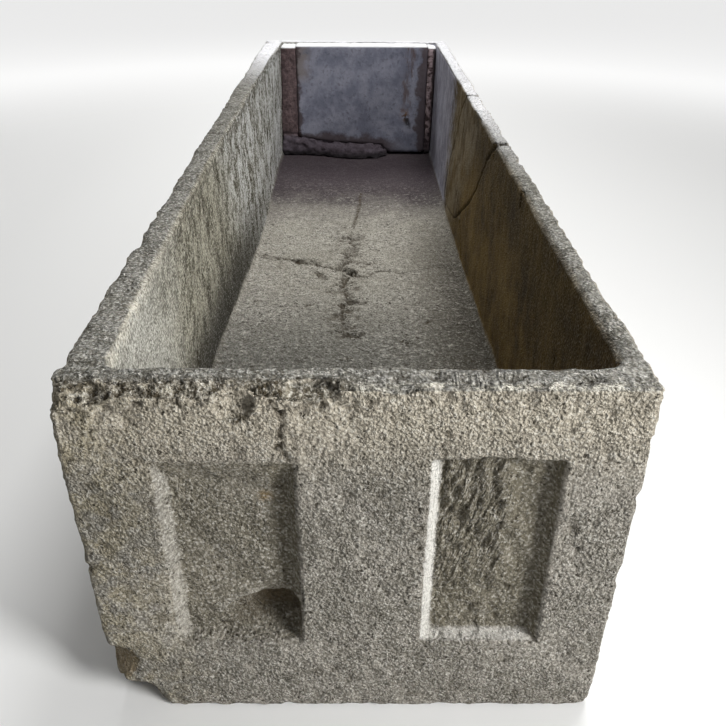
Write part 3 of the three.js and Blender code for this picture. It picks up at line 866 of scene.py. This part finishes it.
        wall_relief = self.inner * (self.streaks * 0.004 + self.sand * 0.003 + self.grit * 0.0015)
        height = height + wall_relief * (1 - self.calm * 0.4)
        floor_relief = self.floor * (self.sand * 0.004 + self.grit * 0.002 - self.holes * 0.003)
        return height + (floor_relief + self.crusty * self.chunks * 0.010) * (1 - self.calm * 0.7)


limestone = Limestone()
to_right = limestone.x.smooth(-0.05, 0.05)
both_walls = limestone.mix(limestone.left_wall(), limestone.right_wall(), to_right)
colour = limestone.mix(limestone.outside(), limestone.rims(), limestone.rim)
colour = limestone.mix(colour, both_walls, limestone.inner)
colour = limestone.mix(colour, limestone.bed(), limestone.floor)
limestone.feed("Base Color", limestone.soiled_and_shaded(limestone.grained(colour)))
limestone.relief(limestone.height())
for node in stone_nodes:
    stone(node).data.materials.append(limestone.material)


# The slab in the far end: a smoother, bluish stone sawn to a plate and stood in mortar. Its foot is
# broken off at a slant, and its arrises are a little chipped.
slab_cell = 0.007


def chipped(nodes, cell, depth_at, name):
    """A finer copy of one node, or of two that are one piece of stuff, with a worn skin."""
    solid = merged_copy(*nodes)
    mesh = remeshed(solid, cell)
    settle(mesh, BVHTree.FromBMesh(solid))
    moves = [-vert.normal * depth_at(vert) for vert in mesh.verts]
    for vert, move in zip(mesh.verts, moves):
        vert.co += move
    return finished(mesh, name, nodes)


def slab_wear(vert):
    """How deep the slab's skin is worn at this vertex, in metres."""
    swells = max(noise.fractal(vert.co / 0.06, 0.9, 2.0, 4) + 0.4, 0)
    return 0.0005 * swells + bulge(vert) * 0.002 * max(noise.noise(vert.co / 0.02) + 0.3, 0)


# The tops of the slab and of the mortar get the same pale painted highlight as the rim beside them.
painted_top_highlight = (0.78, 0.78, 0.79)


def slab_finish():
    """Bluish and clouded, with stains and rust at the right and mortar smeared over its edges."""
    finish = Finish("slab stone", 0.8)
    x, y, z = finish.axes()
    blue, light_blue, dark_blue = (0.165, 0.172, 0.225), (0.275, 0.283, 0.345), (0.09, 0.09, 0.12)
    brown, white, rust = (0.115, 0.080, 0.075), (0.34, 0.35, 0.42), (0.16, 0.085, 0.04)
    black, tan, smear = (0.02, 0.017, 0.018), (0.20, 0.165, 0.145), (0.080, 0.058, 0.060)
    clouds = finish.noise(16.0, 6.0, 0.65)
    specks = finish.noise(75.0, 5.0, 0.65)
    streaks = finish.noise(1.0, 5.0, 0.65, finish.stretched(70, 70, 14))
    wander = (clouds - 0.5) * 0.10
    wandering_x = x + wander
    colour = finish.mix(blue, light_blue, clouds.smooth(0.36, 0.64))
    colour = finish.mix(colour, dark_blue, specks.smooth(0.54, 0.66) * 0.5)
    stain = band(wandering_x, 0.172, 0.205, 0.010) * z.smooth(0.28, 0.36) * streaks.smooth(0.42, 0.56)
    colour = finish.mix(colour, brown, stain * 0.8)
    run = band(wandering_x, 0.200, 0.222, 0.006) * band(z, 0.36, 0.47, 0.02) * streaks.smooth(0.50, 0.60)
    colour = finish.mix(colour, white, run * 0.8)
    rusty = band(x, 0.165, 0.192, 0.008) * band(z, 0.27, 0.31, 0.014) * specks.smooth(0.42, 0.56)
    colour = finish.mix(colour, rust, rusty * 0.9)
    ragged = band(x + z * 0.3, 0.262, 0.280, 0.006) * band(z, 0.25, 0.29, 0.014) * specks.smooth(0.40, 0.50)
    colour = finish.mix(colour, black, ragged * 0.9)
    corner = band(wandering_x, -0.235, -0.165, 0.02) * z.smooth(0.39, 0.44) * clouds.smooth(0.35, 0.5)
    colour = finish.mix(colour, tan, corner * 0.7)
    edges = wandering_x.smooth(-0.192, -0.204) + wandering_x.smooth(0.222, 0.236)
    edges = edges + (z + wander + x * 0.10).smooth(0.225, 0.200) * x.smooth(0.20, 0.10)
    colour = finish.mix(colour, smear, edges * 0.85)
    # Painted highlight on the slab's top.
    colour = finish.mix(colour, painted_top_highlight, z.smooth(rim_z - 0.009, rim_z - 0.005))
    finish.feed("Base Color", colour)
    finish.relief(clouds * 0.003 + specks * 0.002)
    return finish.material


slab = chipped(["end_slab"], slab_cell, slab_wear, "end_slab_stone")
slab.data.materials.append(slab_finish())


# The mortar round the slab: brown lime mortar with coarse sand, packed in by hand. It fills the
# joints at both sides and the gap under the slab's broken foot, and has shrunk and crumbled since.
mortar_cell = 0.0045


def mortar_wear(vert):
    """The joints' fronts come out level with the slab, and the bed under it is the roughest."""
    place = vert.co
    bed = smooth_step(place.z, 0.235, 0.215) * smooth_step(place.y, 1.06, 1.045)
    lumps = max(noise.fractal(place / 0.018, 0.7, 2.1, 4) + 0.5, 0)
    lumps += bed * max(noise.noise(place / 0.035) + 0.2, 0)
    front = smooth_step(-vert.normal.y, 0.4, 0.9) * (1 - bed)
    front *= smooth_step(place.z, rim_z - 0.007, rim_z - 0.014)
    return (0.0016 + 0.0044 * bed) * lumps - 0.0052 * front


def mortar():
    """Lumpy and brown, paler in the right joint, greyer in the bed with painted shade, a painted shadow
    along its foot.
    """
    finish = Finish("mortar", 0.97)
    x, y, z = finish.axes()
    brown, light_brown, pink = (0.085, 0.060, 0.062), (0.170, 0.120, 0.122), (0.50, 0.39, 0.41)
    grey, dark_grey = (0.105, 0.090, 0.110), (0.046, 0.036, 0.043)
    black, crack = (0.012, 0.010, 0.011), (0.018, 0.015, 0.017)
    lumps = finish.noise(45.0, 6.0, 0.65)
    crumbs = finish.noise(140.0, 4.0, 0.65)
    colour = finish.mix(brown, light_brown, lumps.smooth(0.38, 0.62))
    colour = finish.mix(colour, pink, x.smooth(0.15, 0.24) * lumps.smooth(0.42, 0.56) * 0.9)
    # Painted shade that greys the bed's top, which the lamps light.
    colour = finish.mix(colour, grey, z.smooth(0.24, 0.21) * y.smooth(1.06, 1.04) * 0.8)
    colour = finish.mix(colour, dark_grey, z.smooth(0.205, 0.170) * lumps.smooth(0.3, 0.6) * 0.9)
    # A black painted shadow along the bed's foot.
    colour = finish.mix(colour, black, z.smooth(0.172, 0.156) * 0.9)
    torn = band(x + (lumps - 0.5) * 0.04, 0.276, 0.290, 0.003) + crumbs.smooth(0.42, 0.34) * 0.6
    colour = finish.mix(colour, crack, torn * 0.9)
    # Painted highlight on the mortar's top.
    colour = finish.mix(colour, painted_top_highlight, z.smooth(rim_z - 0.014, rim_z - 0.010))
    finish.feed("Base Color", colour)
    finish.relief(lumps * 0.006 + crumbs * 0.003)
    return finish.material


mortar_finish = mortar()
fillings = {"left_mortar": ["mortar_left", "mortar_bed"], "right_mortar": ["mortar_right"]}
for name, nodes in fillings.items():
    filling = chipped(nodes, mortar_cell, mortar_wear, name)
    filling.data.materials.append(mortar_finish)
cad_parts["slab_back_bedding"].data.materials.clear()
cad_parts["slab_back_bedding"].data.materials.append(mortar_finish)


# The stage: a plain pale floor in a pale room, with three soft studio lamps. The room, and the floor
# far off, are brighter for the rays that show the background than for the light on the stone.
def shows_background(nodes):
    """1 for the rays that show the background: straight ones and those that gloss or glass sends on."""
    rays = [f"Is {kind} Ray" for kind in ("Camera", "Glossy", "Transmission")]
    straight, glossy, through = nodes.add("ShaderNodeLightPath", {}, {}, *rays)
    return straight + glossy + through


stage_finish = Finish("studio floor", 0.9)
stage_finish.feed("Base Color", (0.8, 0.8, 0.79))
stage_x, stage_y, _ = stage_finish.axes()
far_off = (stage_x * stage_x + stage_y * stage_y).smooth(2.0, 16.0)
glow = stage_finish.mix((0.0, 0.0, 0.0), (0.62, 0.62, 0.62), far_off * shows_background(stage_finish))
stage_finish.feed("Emission Color", glow)
stage_finish.feed("Emission Strength", 1.0)

floor_mesh = bpy.data.meshes.new("studio_floor")
floor_build = bmesh.new()
bmesh.ops.create_grid(floor_build, x_segments=1, y_segments=1, size=20.0)
floor_build.to_mesh(floor_mesh)
floor_mesh.materials.append(stage_finish.material)
studio_floor = bpy.data.objects.new("studio_floor", floor_mesh)
bpy.context.collection.objects.link(studio_floor)


def lamp(name, place, target, size, power, spread=180):
    """A square lamp of this size and power, turned towards the target."""
    data = bpy.data.lights.new(name, "AREA")
    data.shape = "SQUARE"
    data.size = size
    data.energy = power
    data.spread = radians(spread)
    light = bpy.data.objects.new(name, data)
    light.location = place
    light.rotation_euler = (Vector(target) - Vector(place)).to_track_quat("-Z", "Y").to_euler()
    bpy.context.collection.objects.link(light)


lamp("right_front", (2.1, -2.5, 1.6), (0, -1.05, 0.3), 0.8, 13.8, 62)
lamp("overhead", (0.7, -0.1, 3.0), (0, 0.0, 0.2), 1.1, 60)
lamp("far_top", (-0.25, 2.3, 2.4), (0, 0.9, 0.5), 0.9, 42)

world = bpy.data.worlds.new("room")
bpy.context.scene.world = world
world.use_nodes = True
room = Nodes(world.node_tree)
background = world.node_tree.nodes["Background"].inputs
brightness = {"Value": shows_background(room), "To Min": 0.2, "To Max": 0.9}
room.put((1, 1, 1), background["Color"])
room.put(room.add("ShaderNodeMapRange", {}, brightness, "Result"), background["Strength"])
bpy.context.scene.view_settings.view_transform = "Standard"
